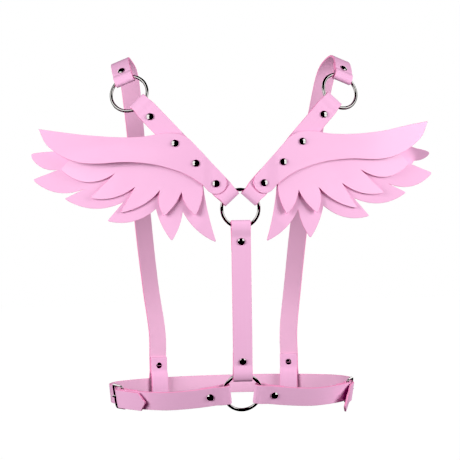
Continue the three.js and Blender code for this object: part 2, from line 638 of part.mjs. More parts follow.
const wingStack = { low: SINGLE.low, high: topLift + FEATHER_THICK };
const endStack = { low: DOUBLE.low, high: backLift + FEATHER_THICK };
[wingStack, wingStack, endStack].forEach((stack, i) => {
  addRivetPair(`wing_rivet_${i + 1}`, backRivetFrames[i + 1], stack);
});

export default harness;
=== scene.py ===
import math

import bmesh
import bpy
import numpy as np
from mathutils import Matrix, Vector
from mathutils.geometry import delaunay_2d_cdt


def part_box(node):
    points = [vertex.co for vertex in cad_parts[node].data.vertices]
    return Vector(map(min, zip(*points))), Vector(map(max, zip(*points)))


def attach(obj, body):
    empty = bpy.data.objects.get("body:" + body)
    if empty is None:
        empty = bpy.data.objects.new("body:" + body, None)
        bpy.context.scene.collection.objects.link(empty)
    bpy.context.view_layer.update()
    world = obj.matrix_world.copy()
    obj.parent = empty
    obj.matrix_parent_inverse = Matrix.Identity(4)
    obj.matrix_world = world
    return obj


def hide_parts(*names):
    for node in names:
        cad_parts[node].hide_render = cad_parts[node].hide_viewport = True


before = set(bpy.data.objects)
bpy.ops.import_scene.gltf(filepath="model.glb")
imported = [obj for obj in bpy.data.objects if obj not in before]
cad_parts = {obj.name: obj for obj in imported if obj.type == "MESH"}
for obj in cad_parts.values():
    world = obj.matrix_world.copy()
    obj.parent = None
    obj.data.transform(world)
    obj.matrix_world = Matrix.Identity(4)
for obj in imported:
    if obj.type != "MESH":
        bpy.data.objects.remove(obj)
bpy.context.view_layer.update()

# Camera: two metres behind the harness, level with the lower tips of the wings and a little to
# the left of its middle, with the picture tilted slightly. A long lens keeps the straps straight,
# and the picture's blacks are set a little deeper than they fall.
CAMERA_DISTANCE = 2.0
CAMERA_LEFT = math.radians(6.5)
CAMERA_ROLL = math.radians(1.2)
CAMERA_TARGET = Vector((0.0015, 0.0, -0.181))
CAMERA_LENS = 144.2
CAMERA_SENSOR = 36
BLACK_POINT = 0.03

camera = bpy.data.objects.new("camera", bpy.data.cameras.new("camera"))
camera.data.sensor_width = CAMERA_SENSOR
camera.data.lens = CAMERA_LENS
standpoint = CAMERA_DISTANCE * Vector((-math.sin(CAMERA_LEFT), -math.cos(CAMERA_LEFT), 0))
standpoint.z = CAMERA_TARGET.z
sight = (CAMERA_TARGET - standpoint).normalized()
level = sight.cross(Vector((0, 0, 1))).normalized()
upright = level.cross(sight)
picture_right = level * math.cos(CAMERA_ROLL) - upright * math.sin(CAMERA_ROLL)
picture_up = level * math.sin(CAMERA_ROLL) + upright * math.cos(CAMERA_ROLL)
facing = Matrix((picture_right, picture_up, -sight)).transposed().to_4x4()
camera.matrix_world = Matrix.Translation(standpoint) @ facing
bpy.context.scene.collection.objects.link(camera)
bpy.context.scene.camera = camera
picture = bpy.context.scene.view_settings
picture.view_transform = "Standard"
picture.use_curve_mapping = True
picture.curve_mapping.black_level = [BLACK_POINT] * 3
picture.curve_mapping.update()

# O-rings: two at the shoulders, one in the middle of the back and one at the waist.
# Each is round steel wire, welded shut and nickel plated, and hangs in the folds of the straps.
MM = 0.001
RING_RADIUS = 19.25
RING_WIRE = 1.75
RING_STEPS = 120
WIRE_STEPS = 20
NICKEL = (0.80, 0.79, 0.775, 1)
NICKEL_DULL = (0.60, 0.585, 0.56, 1)


class Value:
    """One output of a finish's nodes. Sums and products of it become Math nodes."""

    def __init__(self, tree, socket=None):
        self.tree = tree
        self.socket = socket

    def node(self, kind, settings=None, inputs=None, output=0):
        """Adds a node: its type, its settings, then the values or links of its sockets."""
        made = self.tree.nodes.new(kind)
        for name, setting in (settings or {}).items():
            setattr(made, name, setting)
        for name, given in (inputs or {}).items():
            if isinstance(given, Value):
                self.tree.links.new(given.socket, made.inputs[name])
            else:
                made.inputs[name].default_value = given
        return Value(self.tree, made.outputs[output]) if made.outputs else None

    def maths(self, operation, first, second):
        return self.node("ShaderNodeMath", {"operation": operation}, {0: first, 1: second})

    def __add__(self, other):
        return self.maths("ADD", self, other)

    def __radd__(self, other):
        return self.maths("ADD", other, self)

    def __sub__(self, other):
        return self.maths("SUBTRACT", self, other)

    def __rsub__(self, other):
        return self.maths("SUBTRACT", other, self)

    def __mul__(self, other):
        return self.maths("MULTIPLY", self, other)

    def __rmul__(self, other):
        return self.maths("MULTIPLY", other, self)

    def blend(self, colour_at_0, colour_at_1):
        settings = {"data_type": "RGBA", "clamp_factor": True}
        return self.node("ShaderNodeMix", settings, {0: self, 6: colour_at_0, 7: colour_at_1}, 2)


def new_finish(name):
    material = bpy.data.materials.new(name)
    material.use_nodes = True
    material.node_tree.nodes.clear()
    return material, Value(material.node_tree)


def nickel_finish():
    material, start = new_finish("polished_nickel")
    place = start.node("ShaderNodeTexCoord", output="Object")
    haze = start.node("ShaderNodeTexNoise", None, {"Vector": place, "Scale": 260, "Detail": 3})
    streaks = start.node("ShaderNodeMapping", None, {"Vector": place, "Scale": (900, 900, 5000)})
    scratch = start.node("ShaderNodeTexNoise", None, {"Vector": streaks, "Scale": 1, "Detail": 2})
    bump = start.node("ShaderNodeBump", None, {"Height": scratch, "Strength": 0.03, "Distance": 0.00005})
    shader = start.node("ShaderNodeBsdfPrincipled", None, {
        "Base Color": haze.blend(NICKEL_DULL, NICKEL),
        "Metallic": 1.0,
        "Roughness": 0.02 + 0.05 * haze,
        "Normal": bump,
    })
    start.node("ShaderNodeOutputMaterial", None, {"Surface": shader})
    return material


nickel = nickel_finish()


def closed_mesh(name, points, faces):
    """A mesh that faces outward all over, from points in millimetres."""
    mesh = bpy.data.meshes.new(name)
    mesh.from_pydata((np.asarray(points) * MM).tolist(), [], faces)
    shaped = bmesh.new()
    shaped.from_mesh(mesh)
    bmesh.ops.recalc_face_normals(shaped, faces=shaped.faces)
    shaped.to_mesh(mesh)
    shaped.free()
    return mesh


def add_piece(node, points, faces, material, slot, marks=None):
    """A closed mesh that stands for a node of the frame, with marks that its finish reads."""
    mesh = closed_mesh(node, points, faces)
    for name, values in (marks or {}).items():
        mesh.attributes.new(name, "FLOAT", "POINT").data.foreach_set("value", np.float32(values))
    mesh.shade_smooth()
    mesh.materials.append(material)
    made = bpy.data.objects.new(f"{node}_piece", mesh)
    bpy.context.scene.collection.objects.link(made)
    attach(made, "root")
    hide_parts(node)
    return made


def grid_faces(rows, columns, joined):
    """Faces between like rows of points, each row closed on itself."""
    faces = []
    for row in range(rows if joined else rows - 1):
        here, after = row * columns, (row + 1) % rows * columns
        for column in range(columns):
            beside = (column + 1) % columns
            faces.append((here + column, here + beside, after + beside, after + column))
    if not joined:
        faces.append(tuple(range(columns)))
        faces.append(tuple(range(rows * columns - 1, (rows - 1) * columns - 1, -1)))
    return faces


def unit(vectors):
    return vectors / np.linalg.norm(vectors, axis=-1, keepdims=True)


def wire(points, upward, joined, wide, thick=None):
    """Points and faces of a wire bent along points; its width lies square to the upward direction."""
    points = np.asarray(points, float)
    if joined:
        along = unit(np.roll(points, -1, 0) - np.roll(points, 1, 0))
    else:
        along = unit(np.gradient(points, axis=0))
    aside = unit(np.cross(along, upward))
    over = np.cross(aside, along)
    turn = np.linspace(0, 2 * np.pi, WIRE_STEPS, endpoint=False)
    wide = np.broadcast_to(wide, len(points))[:, None, None]
    thick = wide if thick is None else np.broadcast_to(thick, len(points))[:, None, None]
    circle = aside[:, None] * np.cos(turn)[:, None] * wide + over[:, None] * np.sin(turn)[:, None] * thick
    return (points[:, None] + circle).reshape(-1, 3), grid_faces(len(points), WIRE_STEPS, joined)


def ring_place(node):
    """The middle of a ring of the frame, and the direction that it faces, out from the back."""
    low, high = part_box(node)
    corners = np.array([vertex.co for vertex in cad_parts[node].data.vertices])
    middle = np.array(low + high) / 2
    out = np.linalg.svd(corners - middle, full_matrices=False)[2][2]
    return middle / MM, -out * np.sign(out[1])


for ring in ("shoulder_ring_right", "shoulder_ring_left", "back_ring", "waist_ring"):
    middle, out = ring_place(ring)
    first = unit(np.cross(out, (0, 0, 1)))
    second = np.cross(out, first)
    angle = np.linspace(0, 2 * np.pi, RING_STEPS, endpoint=False)[:, None]
    circle = middle + RING_RADIUS * (first * np.cos(angle) + second * np.sin(angle))
    add_piece(ring, *wire(circle, out, True, RING_WIRE), nickel, "nickel")

# Back straps: the two diagonal straps from the shoulder rings to the back ring, of two-millimetre
# pink leather cloth with bare cut edges. Each end is folded round its ring and riveted.
STRAP_WIDTH = 20
BACK_STRAP_WIDTH = 21.5
UNDER_WING_WIDTH = 20.4
FOLD_WIDTH = 19.5
STRAP_THICK = 2
LAYER_GAP = 0.3
LAP = (STRAP_THICK + LAYER_GAP) / 2
CUT_CORNER = 0.45
RUN_STEPS = 40
PATH_STEPS = 16
STRAP_STEP = 1.25
FLAP_PAST_RIVET = 9
BACK_RIVETS = [(35.2, -2), (73.2, -2.5), (102.7, -1.5), (131.7, -1)]
BACK_MIDDLE_SHARE = 0.31
BACK_MIDDLE_DEPTH = -101.5
BACK_MIDDLE_OUT = np.array((0.21, -0.972, 0.11))
FOLD_SLACK = 0.5
FOLD_INSIDE = 0.6
FOLD_REACH = 20.8
FOLD_CLOSED = 26.5
FOLD_FLATTENS = 3
UNDER_WING_FROM = (76, 84)
UNDER_WING_TO = (118, 128)
RIVET_DENT = 0.3
RIVET_DENT_SPREAD = 4.6
RIVET_REACH = 12
PINK = (0.805, 0.468, 0.672, 1)
PINK_DEEP = (0.765, 0.40, 0.61, 1)
# The cut edges' own deeper pink, made brighter and more saturated as a painted glow of light bleeding
# through the edges.
EDGE_PINK_AND_GLOW = (0.84, 0.30, 0.52, 1)
PINK_BACKING = (0.74, 0.43, 0.60, 1)


def leather_finish():
    material, start = new_finish("pink_leather")
    place = start.node("ShaderNodeTexCoord", output="Object")
    cloud = start.node("ShaderNodeTexNoise", None, {"Vector": place, "Scale": 22, "Detail": 3})
    grain = start.node("ShaderNodeTexVoronoi", {"feature": "SMOOTH_F1"}, {"Vector": place, "Scale": 950})
    pores = start.node("ShaderNodeTexNoise", None, {"Vector": place, "Scale": 2100, "Detail": 2})
    weave = start.node("ShaderNodeTexNoise", None, {"Vector": place, "Scale": 1300, "Detail": 4})
    edge = start.node("ShaderNodeAttribute", {"attribute_name": "edge"}, output="Fac")
    under = start.node("ShaderNodeAttribute", {"attribute_name": "under"}, output="Fac")
    across = start.node("ShaderNodeAttribute", {"attribute_name": "across"}, output="Fac")
    along = start.node("ShaderNodeAttribute", {"attribute_name": "along"}, output="Fac")
    rolled = start.node("ShaderNodeCombineXYZ", None, {"X": 0.5 * across, "Y": 0.011 * along})
    streaks = start.node("ShaderNodeTexNoise", None, {"Vector": rolled, "Scale": 1, "Detail": 2})
    tone = 0.6 * cloud + 0.3 * pores + 0.5 * streaks - 0.18
    face = tone.blend(PINK_DEEP, PINK)
    backed = under.blend(face, PINK_BACKING)
    height = (0.6 * grain + 0.4 * pores) * (1 - under) + 0.4 * weave * under
    bump = start.node("ShaderNodeBump", None, {"Height": height, "Strength": 0.35, "Distance": 0.00012})
    shader = start.node("ShaderNodeBsdfPrincipled", None, {
        # Cut edges: their own pink, plus a painted glow of light bleeding through them.
        "Base Color": edge.blend(backed, EDGE_PINK_AND_GLOW),
        "Roughness": 0.40 + 0.10 * grain + 0.12 * edge + 0.35 * under,
        "Specular IOR Level": 0.34,
        "Normal": bump,
    })
    start.node("ShaderNodeOutputMaterial", None, {"Surface": shader})
    return material


leather = leather_finish()


def smooth_line(rows, steps=RUN_STEPS):
    """A smooth line through rows of numbers, sampled evenly between each row and the next."""
    rows = np.asarray(rows, float)
    ends = np.vstack([2 * rows[0] - rows[1], rows, 2 * rows[-1] - rows[-2]])
    share = np.linspace(0, 1, steps, endpoint=False)[:, None]
    pieces = []
    for a, b, c, d in zip(ends, ends[1:], ends[2:], ends[3:]):
        before, between, after = (math.sqrt(np.linalg.norm(gap)) for gap in (b - a, c - b, d - c))
        between = between if between > 1e-4 else 1.0
        before = before if before > 1e-4 else between
        after = after if after > 1e-4 else between
        leave = ((b - a) / before - (c - a) / (before + between)) * between + (c - b)
        arrive = ((d - c) / after - (d - b) / (between + after)) * between + (c - b)
        cubic = (2 * (b - c) + leave + arrive) * share**3
        square = (3 * (c - b) - 2 * leave - arrive) * share**2
        pieces.append(cubic + square + leave * share + b)
    return np.vstack([*pieces, rows[-1:]])


class Run:
    """The line that a strap follows: points and the directions that it faces there."""

    def __init__(self, points, outs):
        self.line = smooth_line(points)
        self.outs = smooth_line(outs)
        steps = np.linalg.norm(np.diff(self.line, axis=0), axis=1)
        self.reach = np.concatenate([[0], np.cumsum(steps)])
        self.length = self.reach[-1]
        self.tangents = np.gradient(self.line, self.reach, axis=0)

    def at_row(self, row):
        return self.reach[row * RUN_STEPS]

    def frame(self, distance):
        """Point, direction along, direction out and direction across at a distance or distances."""
        tables = (self.line, self.tangents, self.outs)
        at, along, out = (
            np.stack([np.interp(distance, self.reach, column) for column in table.T], -1)
            for table in tables
        )
        along = unit(along)
        out = unit(out - along * np.sum(out * along, -1, keepdims=True))
        return at, along, out, np.cross(along, out)


def fold(bar, half, reach, closed, flap_end):
    """Distances and heights of a strap end turned back round a bar: flap, loop, then the strap on top."""
    lift = half + STRAP_THICK / 2
    turn = np.linspace(-np.pi / 2, np.pi / 2, 9)
    loop = np.stack([bar - lift * np.cos(turn), lift * np.sin(turn)], 1)
    flat = closed + FOLD_FLATTENS
    under = [(flap_end, -LAP), (flat, -LAP), (closed, -LAP), (reach, -lift)]
    over = [(reach, lift), (closed, LAP), (flat, LAP)]
    return np.vstack([under, loop, over])


def ring_fold(rivet, closed):
    """The fold round a ring, as deep as the ring lets the strap's edges go."""
    half = RING_WIRE + FOLD_SLACK
    ring_at_edge = math.sqrt((RING_RADIUS - RING_WIRE) ** 2 - (FOLD_WIDTH / 2) ** 2)
    return fold(ring_at_edge - FOLD_INSIDE + half, half, FOLD_REACH, closed, rivet + FLAP_PAST_RIVET)


def from_end(end, path):
    """The same path, measured back from the end of a run."""
    return (path * (-1, 1) + (end, 0))[::-1]


def press(points, rivets):
    """Leather pressed in round each rivet, on both faces."""
    for at, out in rivets:
        height = (points - at) @ out
        radial = np.linalg.norm(points - at - height[..., None] * out, axis=-1)
        dent = RIVET_DENT * np.exp(-((radial / RIVET_DENT_SPREAD) ** 2)) * (abs(height) < RIVET_REACH)
        points = points - (dent * np.sign(height))[..., None] * out
    return points


def cut_section():
    """The strap's cut section: side, bulge past its straight part, height, edge mark, underside mark."""
    top = [(share, 0, STRAP_THICK / 2, 0, 0) for share in (-1, -0.6, 0, 0.6, 1)]
    rim = []
    for degrees in (60, 30, 0):
        turn = math.radians(degrees)
        rise = STRAP_THICK / 2 - CUT_CORNER * (1 - math.sin(turn))
        rim.append((1, CUT_CORNER * math.cos(turn), rise, 1, 0))
    right = rim + [(side, bulge, -rise, mark, 0) for side, bulge, rise, mark, _ in rim[::-1]]
    bottom = [(-side, 0, -rise, 0, 1) for side, _, rise, _, _ in top]
    left = [(-side, -bulge, -rise, mark, 0) for side, bulge, rise, mark, _ in right]
    return np.array(top + right + bottom + left).T


def strap_mesh(run, path, rivets=(), half=None, drop=None):
    """Points, faces and marks of a flat strap whose path is a list of distances and heights on a run.

    Tables of half widths and of drops give values at distances, where they aren't the usual ones.
    """
    fine = smooth_line(path, PATH_STEPS)
    reach = np.concatenate([[0], np.cumsum(np.linalg.norm(np.diff(fine, axis=0), axis=1))])
    even = np.linspace(0, reach[-1], int(reach[-1] / STRAP_STEP))
    distance, rise = (np.interp(even, reach, column) for column in fine.T)
    slope = unit(np.gradient(np.stack([distance, rise], 1), even, axis=0))
    at, along, out, across = run.frame(distance)
    middle = at + out * rise[:, None]
    if drop is not None:
        middle[:, 2] -= np.interp(distance, *drop)
        way = unit(np.gradient(middle, even, axis=0))
        across = unit(across - way * np.sum(across * way, axis=1, keepdims=True))
    face = out * slope[:, :1] - along * slope[:, 1:]
    rows = len(distance)
    half_width = np.full(rows, STRAP_WIDTH / 2) if half is None else np.interp(distance, *half)
    side, bulge, height, edge, under = cut_section()
    reach_aside = side * (half_width[:, None] - CUT_CORNER) + bulge
    points = middle[:, None] + across[:, None] * reach_aside[..., None] + face[:, None] * height[:, None]
    marks = {
        "edge": np.tile(edge, rows),
        "under": np.tile(under, rows),
        "across": reach_aside.ravel(),
        "along": np.repeat(even, len(side)),
    }
    return press(points.reshape(-1, 3), rivets), grid_faces(rows, len(side), False), marks


SIDES = {"right": np.array((1, 1, 1)), "left": np.array((-1, 1, 1))}


def add_leather(node, points, faces, marks):
    made = add_piece(node, points, faces, leather, "leather", marks)
    made.modifiers.new("even_shading", "WEIGHTED_NORMAL").keep_sharp = True
    return made


def in_plane(out, x, z):
    """The direction in a ring's plane that shows as x and z from behind."""
    return unit(np.array((x, -(x * out[0] + z * out[2]) / out[1], z)))


RING_ROWS = (0, 12, 25)
shoulder_at, shoulder_out = ring_place("shoulder_ring_right")
back_at, back_out = ring_place("back_ring")
chord = back_at - shoulder_at
leaving = in_plane(shoulder_out, chord[0], chord[2])
arriving = in_plane(back_out, -chord[0], -chord[2])
back_middle = shoulder_at + chord * BACK_MIDDLE_SHARE
back_middle[1] = BACK_MIDDLE_DEPTH
back_run = Run(
    [shoulder_at + leaving * row for row in RING_ROWS]
    + [back_middle]
    + [back_at + arriving * row for row in RING_ROWS[::-1]],
    [shoulder_out] * 3 + [BACK_MIDDLE_OUT] + [back_out] * 3,
)
back_rivets = []
for distance, aside in BACK_RIVETS:
    at, along, out, across = back_run.frame(distance)
    back_rivets.append((at + across * aside, out))
back_path = np.vstack([
    ring_fold(BACK_RIVETS[0][0], FOLD_CLOSED),
    from_end(back_run.length, ring_fold(back_run.length - BACK_RIVETS[-1][0], FOLD_CLOSED)),
])
back_widths = np.array([
    # distance along the strap, width: tucked in a little under the wing and at both folds
    (FOLD_REACH, FOLD_WIDTH), (FOLD_CLOSED, BACK_STRAP_WIDTH),
    *zip(UNDER_WING_FROM, (BACK_STRAP_WIDTH, UNDER_WING_WIDTH)),
    *zip(UNDER_WING_TO, (UNDER_WING_WIDTH, BACK_STRAP_WIDTH)),
    (back_run.length - FOLD_CLOSED, BACK_STRAP_WIDTH), (back_run.length - FOLD_REACH, FOLD_WIDTH),
])
back_half = back_widths.T * [[1], [0.5]]
points, faces, marks = strap_mesh(back_run, back_path, back_rivets, back_half)
for name, mirror in SIDES.items():
    add_leather(f"back_strap_{name}", points * mirror, faces, marks)

# Shoulder straps: of the same leather, from the shoulder rings over the shoulders and down the chest.
# The lower end of each is turned up round the front belt and riveted to itself.
SHOULDER_RIVET = 27.8
SHOULDER_FOLD_CLOSED = 24
SHOULDER_LEAN = math.radians(16)
SHOULDER_ROWS = [
    # height in the ring's plane, depth behind that plane, turn of the strap's face in degrees
    (0, 0, 0), (9, 0, 0), (18, 0, 0), (24, 0.9, 17), (30, 3.5, 28), (37, 7.6, 33), (43.5, 12.6, 43),
    (48.5, 20, 66), (50, 30, 94), (46, 43, 118),
]
CHEST_POINTS = [(99.5, 3, -60), (93, 42, -120), (87, 68, -180), (80, 77, -245)]
CHEST_OUTS = [(0.35, 0.7, 0.62), (0.32, 0.85, 0.42), (0.36, 0.92, 0.14), (0.42, 0.9, 0)]
LOOP_AT = np.array((74, 75, -355))
LOOP_BEFORE = np.array((102, 60))
LOOP_AFTER = np.array((38, 85))
LOOP_BELOW = 30
LOOP_HALF = 2.1
LOOP_REACH = 41
LOOP_CLOSED = 48
LOOP_RIVET = 54

rising = in_plane(shoulder_out, math.sin(SHOULDER_LEAN), math.cos(SHOULDER_LEAN))
heights, depths, turns = np.array(SHOULDER_ROWS).T[..., None]
over_shoulder = shoulder_at + rising * heights - shoulder_out * depths
over_outs = shoulder_out * np.cos(np.radians(turns)) + rising * np.sin(np.radians(turns))
belt_way = LOOP_AFTER - LOOP_BEFORE
loop_out = unit(np.array((belt_way[1], -belt_way[0], 0.0)))
to_loop = [LOOP_AT + np.array((0, 0, LOOP_BELOW * step)) for step in (2, 1, 0, -1)]
shoulder_run = Run([*over_shoulder, *CHEST_POINTS, *to_loop], [*over_outs, *CHEST_OUTS] + [loop_out] * 4)
loop_bar = LOOP_BELOW - STRAP_WIDTH / 2 - LAYER_GAP
belt_loop = fold(loop_bar, LOOP_HALF, LOOP_REACH, LOOP_CLOSED, LOOP_RIVET + FLAP_PAST_RIVET)
shoulder_path = np.vstack([
    ring_fold(SHOULDER_RIVET, SHOULDER_FOLD_CLOSED),
    from_end(shoulder_run.length, belt_loop),
])
shoulder_rivet = shoulder_run.frame(SHOULDER_RIVET)[0::2]
loop_rivet = shoulder_run.frame(shoulder_run.length - LOOP_RIVET)[0::2]
points, faces, marks = strap_mesh(shoulder_run, shoulder_path, [shoulder_rivet, loop_rivet])
for name, mirror in SIDES.items():
    add_leather(f"shoulder_strap_{name}", points * mirror, faces, marks)

# Spine strap: one strap of the same leather down the middle of the back, folded round the back ring
# above and round the waist ring below, with a rivet through each fold.
SPINE_RIVET_TOP = 34
SPINE_RIVET_BOTTOM = 33.5
SPINE_FOLD_CLOSED = 29.5

waist_at, waist_out = ring_place("waist_ring")
upward = in_plane(waist_out, 0, 1)
spine_run = Run(
    [back_at - np.array((0, 0, row)) for row in RING_ROWS]
    + [waist_at + upward * row for row in RING_ROWS[::-1]],
    [back_out] * 3 + [waist_out] * 3,
)
spine_rivets = {
    "upper": spine_run.frame(SPINE_RIVET_TOP)[0::2],
    "lower": spine_run.frame(spine_run.length - SPINE_RIVET_BOTTOM)[0::2],
}
spine_path = np.vstack([
    ring_fold(SPINE_RIVET_TOP, SPINE_FOLD_CLOSED),
    from_end(spine_run.length, ring_fold(SPINE_RIVET_BOTTOM, SPINE_FOLD_CLOSED)),
])
add_leather("spine_strap", *strap_mesh(spine_run, spine_path, list(spine_rivets.values())))

# Side buckles: rectangular frames of round nickel-plated wire, each with a flattened wire prong
# that turns on the frame's near bar and lies over the far bar.
WAIST_ROWS = [
    # x, y, z, tilt downward in degrees, from the back round to the front on the wearer's right
    (45, -90.4, -354.2, 17), (75, -78, -357, 18), (103, -56, -357, 15), (119.7, -35, -356.2, 11),
    (126.9, -17, -355.4, 9), (130, 1, -355, 7), (129.5, 20, -355, 4), (121, 42, -355, 0),
    (102, 60, -355, 0), (74, 75, -355, 0), (38, 85, -355, 0), (0, 88, -355, 0),
]
NEAR_BAR_ROW = 3
FAR_BAR_ROW = 4
BUCKLE_HEIGHT = 24
BUCKLE_CORNER = 2.2
BUCKLE_WIRE = 1.1
FAR_BAR_HALF = 1.8
FAR_BAR_RISE = 0.5
PRONG_WIDE = 1.2
PRONG_THICK = 0.75
PRONG_RISE = 0.14
PRONG_LIFT = 0.35
PRONG_OVERHANG = 2.6
PRONG_WRAP = (-70, -330)
PRONG_TIP = 0.45

waist_points = np.array([row[:3] for row in WAIST_ROWS], float)
tilts = np.radians([row[3] for row in WAIST_ROWS])
past_front = waist_points[-2] * (-1, 1, 1)
neighbours = np.vstack([waist_at, waist_points, past_front])
belt_ways = neighbours[2:] - neighbours[:-2]
level_outs = unit(np.stack([belt_ways[:, 1], -belt_ways[:, 0], np.zeros(len(tilts))], 1))
waist_outs = level_outs * np.cos(tilts)[:, None]
waist_outs[:, 2] = -np.sin(tilts)

near_bar, far_bar = waist_points[NEAR_BAR_ROW], waist_points[FAR_BAR_ROW]
buckle_length = np.linalg.norm(far_bar - near_bar)
buckle_along = unit(far_bar - near_bar)
buckle_out = waist_outs[NEAR_BAR_ROW] + waist_outs[FAR_BAR_ROW]
buckle_out = unit(buckle_out - buckle_along * (buckle_out @ buckle_along))
buckle_axes = np.array([buckle_along, np.cross(buckle_out, buckle_along), buckle_out])


def in_buckle(points):
    """From distances along, across and out of the buckle to the frame."""
    return near_bar + np.asarray(points, float) @ buckle_axes


def rounded_frame():
    """The frame's line, a quarter turn at each corner."""
    corners = []
    for along, up, start in ((1, 1, 0), (0, 1, 90), (0, -1, 180), (1, -1, 270)):
        turn = np.radians(np.linspace(start, start + 90, 9))
        x = along * buckle_length + (0.5 - along) * 2 * BUCKLE_CORNER
        y = up * (BUCKLE_HEIGHT / 2 - BUCKLE_CORNER)
        arc = np.stack([x + BUCKLE_CORNER * np.cos(turn), y + BUCKLE_CORNER * np.sin(turn), 0 * turn], 1)
        corners.append(arc)
    return np.vstack(corners)


def prong_line():
    """Round the near bar, then straight out over the far bar."""
    eye = BUCKLE_WIRE + LAYER_GAP + PRONG_THICK
    turn = np.radians(np.linspace(*PRONG_WRAP, 22))
    loop = np.stack([eye * np.cos(turn), 0 * turn, eye * np.sin(turn)], 1)
    out_to = np.linspace(eye + 2 * PRONG_THICK, buckle_length + PRONG_OVERHANG, 24)
    arm = np.stack([out_to, 0 * out_to, PRONG_RISE * (out_to - eye) + PRONG_LIFT], 1)
    return np.vstack([loop, arm])


frame_line = rounded_frame()
far_half = [buckle_length / 2, buckle_length]
frame_wide = np.interp(frame_line[:, 0], far_half, [BUCKLE_WIRE, FAR_BAR_HALF])
frame_line[:, 2] = np.interp(frame_line[:, 0], far_half, [0, FAR_BAR_RISE])
frame_thick = BUCKLE_WIRE + frame_line[:, 2]
frame_points, frame_faces = wire(in_buckle(frame_line), buckle_out, True, frame_wide, frame_thick)
prong = in_buckle(prong_line())
taper = np.interp(np.arange(len(prong)), [0, len(prong) - 4, len(prong) - 1], [1, 1, PRONG_TIP])
prong_points, prong_faces = wire(prong, buckle_axes[1], False, PRONG_THICK * taper, PRONG_WIDE * taper)
for name, mirror in SIDES.items():
    add_piece(f"buckle_frame_{name}", frame_points * mirror, frame_faces, nickel, "nickel")
    add_piece(f"buckle_prong_{name}", prong_points * mirror, prong_faces, nickel, "nickel")

# Waist straps: two short straps of the same leather, from the waist ring to the buckles. One end is
# folded round the ring and riveted, and the other is folded round the buckle's near bar and glued,
# with a slot for the prong.
WAIST_FALL = math.radians(6)
WAIST_RIVET = 33.6
WAIST_FOLD_CLOSED = 29
BAR_FOLD_BACK = 10
BAR_FOLD_HALF = 1.65
BAR_FOLD_REACH = 12
BAR_FOLD_CLOSED = 18
BAR_FOLD_FLAP = 34
PRONG_SLOT = (7.4, 3.4, 7.4)


def cut_through(piece, middle, size, axes):
    """Cuts a slot of that size through a piece."""
    corner = np.array([(x, y, z) for x in (-0.5, 0.5) for y in (-0.5, 0.5) for z in (-0.5, 0.5)])
    sides = [(0, 1, 3, 2), (4, 6, 7, 5), (0, 4, 5, 1), (2, 3, 7, 6), (0, 2, 6, 4), (1, 5, 7, 3)]
    cutter = bpy.data.objects.new("slot", closed_mesh("slot", middle + (corner * size) @ axes, sides))
    bpy.context.scene.collection.objects.link(cutter)
    slot = piece.modifiers.new("slot", "BOOLEAN")
    slot.object = cutter
    slot.operation = "DIFFERENCE"
    piece.modifiers.move(len(piece.modifiers) - 1, 0)
    whole = bpy.context.evaluated_depsgraph_get()
    cut = bpy.data.meshes.new_from_object(piece.evaluated_get(whole))
    piece.modifiers.clear()
    piece.data = cut
    bpy.data.objects.remove(cutter)


waist_way = in_plane(waist_out, math.cos(WAIST_FALL), -math.sin(WAIST_FALL))
waist_run = Run(
    [waist_at + waist_way * row for row in RING_ROWS] + [*waist_points],
    [waist_out] * 3 + [*waist_outs],
)
waist_bar = waist_run.at_row(len(RING_ROWS) + NEAR_BAR_ROW)
bar_fold = fold(BAR_FOLD_BACK, BAR_FOLD_HALF, BAR_FOLD_REACH, BAR_FOLD_CLOSED, BAR_FOLD_FLAP)
waist_path = np.vstack([
    ring_fold(WAIST_RIVET, WAIST_FOLD_CLOSED),
    from_end(waist_bar + BAR_FOLD_BACK, bar_fold),
])
waist_rivet = waist_run.frame(WAIST_RIVET)[0::2]
points, faces, marks = strap_mesh(waist_run, waist_path, [waist_rivet])
for name, mirror in SIDES.items():
    waist_strap = add_leather(f"waist_strap_{name}", points * mirror, faces, marks)
    cut_through(waist_strap, near_bar * mirror, PRONG_SLOT, buckle_axes * mirror)

# Front belt: the rest of the belt, of the same leather, round the front of the waist. Both pointed ends
# come up through the buckles and over the waist straps: the left one lifts a little, and the right one
# stands off and droops.
THROUGH_BUCKLE = [(-2, 5.1), (3.5, 5.1), (7.5, 3.2), (12.5, 0), (17.8, -2.4), (24, -2.4), (44, 0)]
LEFT_TAIL = [(-38, 6.5), (-30.5, 5.6), (-22, 4.9), (-10, 4.9)]
RIGHT_TAIL = [(-27, 13.4), (-22, 11.2), (-17, 9.1), (-12, 7.2), (-6, 5.6)]
RIGHT_DROP = [(-27, 9.8), (-22, 9), (-17, 7.7), (-12, 5.6), (-6, 2.3), (-2, 0.7), (2, 0)]
TAIL_POINT = 7.5
TAIL_TIP = 0.7

belt_run = Run(
    np.vstack([waist_points, waist_points[-2::-1] * (-1, 1, 1)]),
    np.vstack([waist_outs, waist_outs[-2::-1] * (-1, 1, 1)]),
)
belt_bar = belt_run.at_row(NEAR_BAR_ROW)
past_bar = np.array((belt_bar, 0))
right_path = np.array(RIGHT_TAIL + THROUGH_BUCKLE) + past_bar
left_path = from_end(belt_run.length, np.array(LEFT_TAIL + THROUGH_BUCKLE) + past_bar)
belt_ends = np.array((right_path[0, 0], left_path[-1, 0]))
point_starts = belt_ends + (TAIL_POINT, -TAIL_POINT)
belt_half = (
    [belt_ends[0], point_starts[0], point_starts[1], belt_ends[1]],
    [TAIL_TIP, STRAP_WIDTH / 2, STRAP_WIDTH / 2, TAIL_TIP],
)
belt_drop = np.array(RIGHT_DROP).T + np.array([[belt_bar], [0]])
belt_path = np.vstack([right_path, left_path])
add_leather("front_belt", *strap_mesh(belt_run, belt_path, half=belt_half, drop=belt_drop))

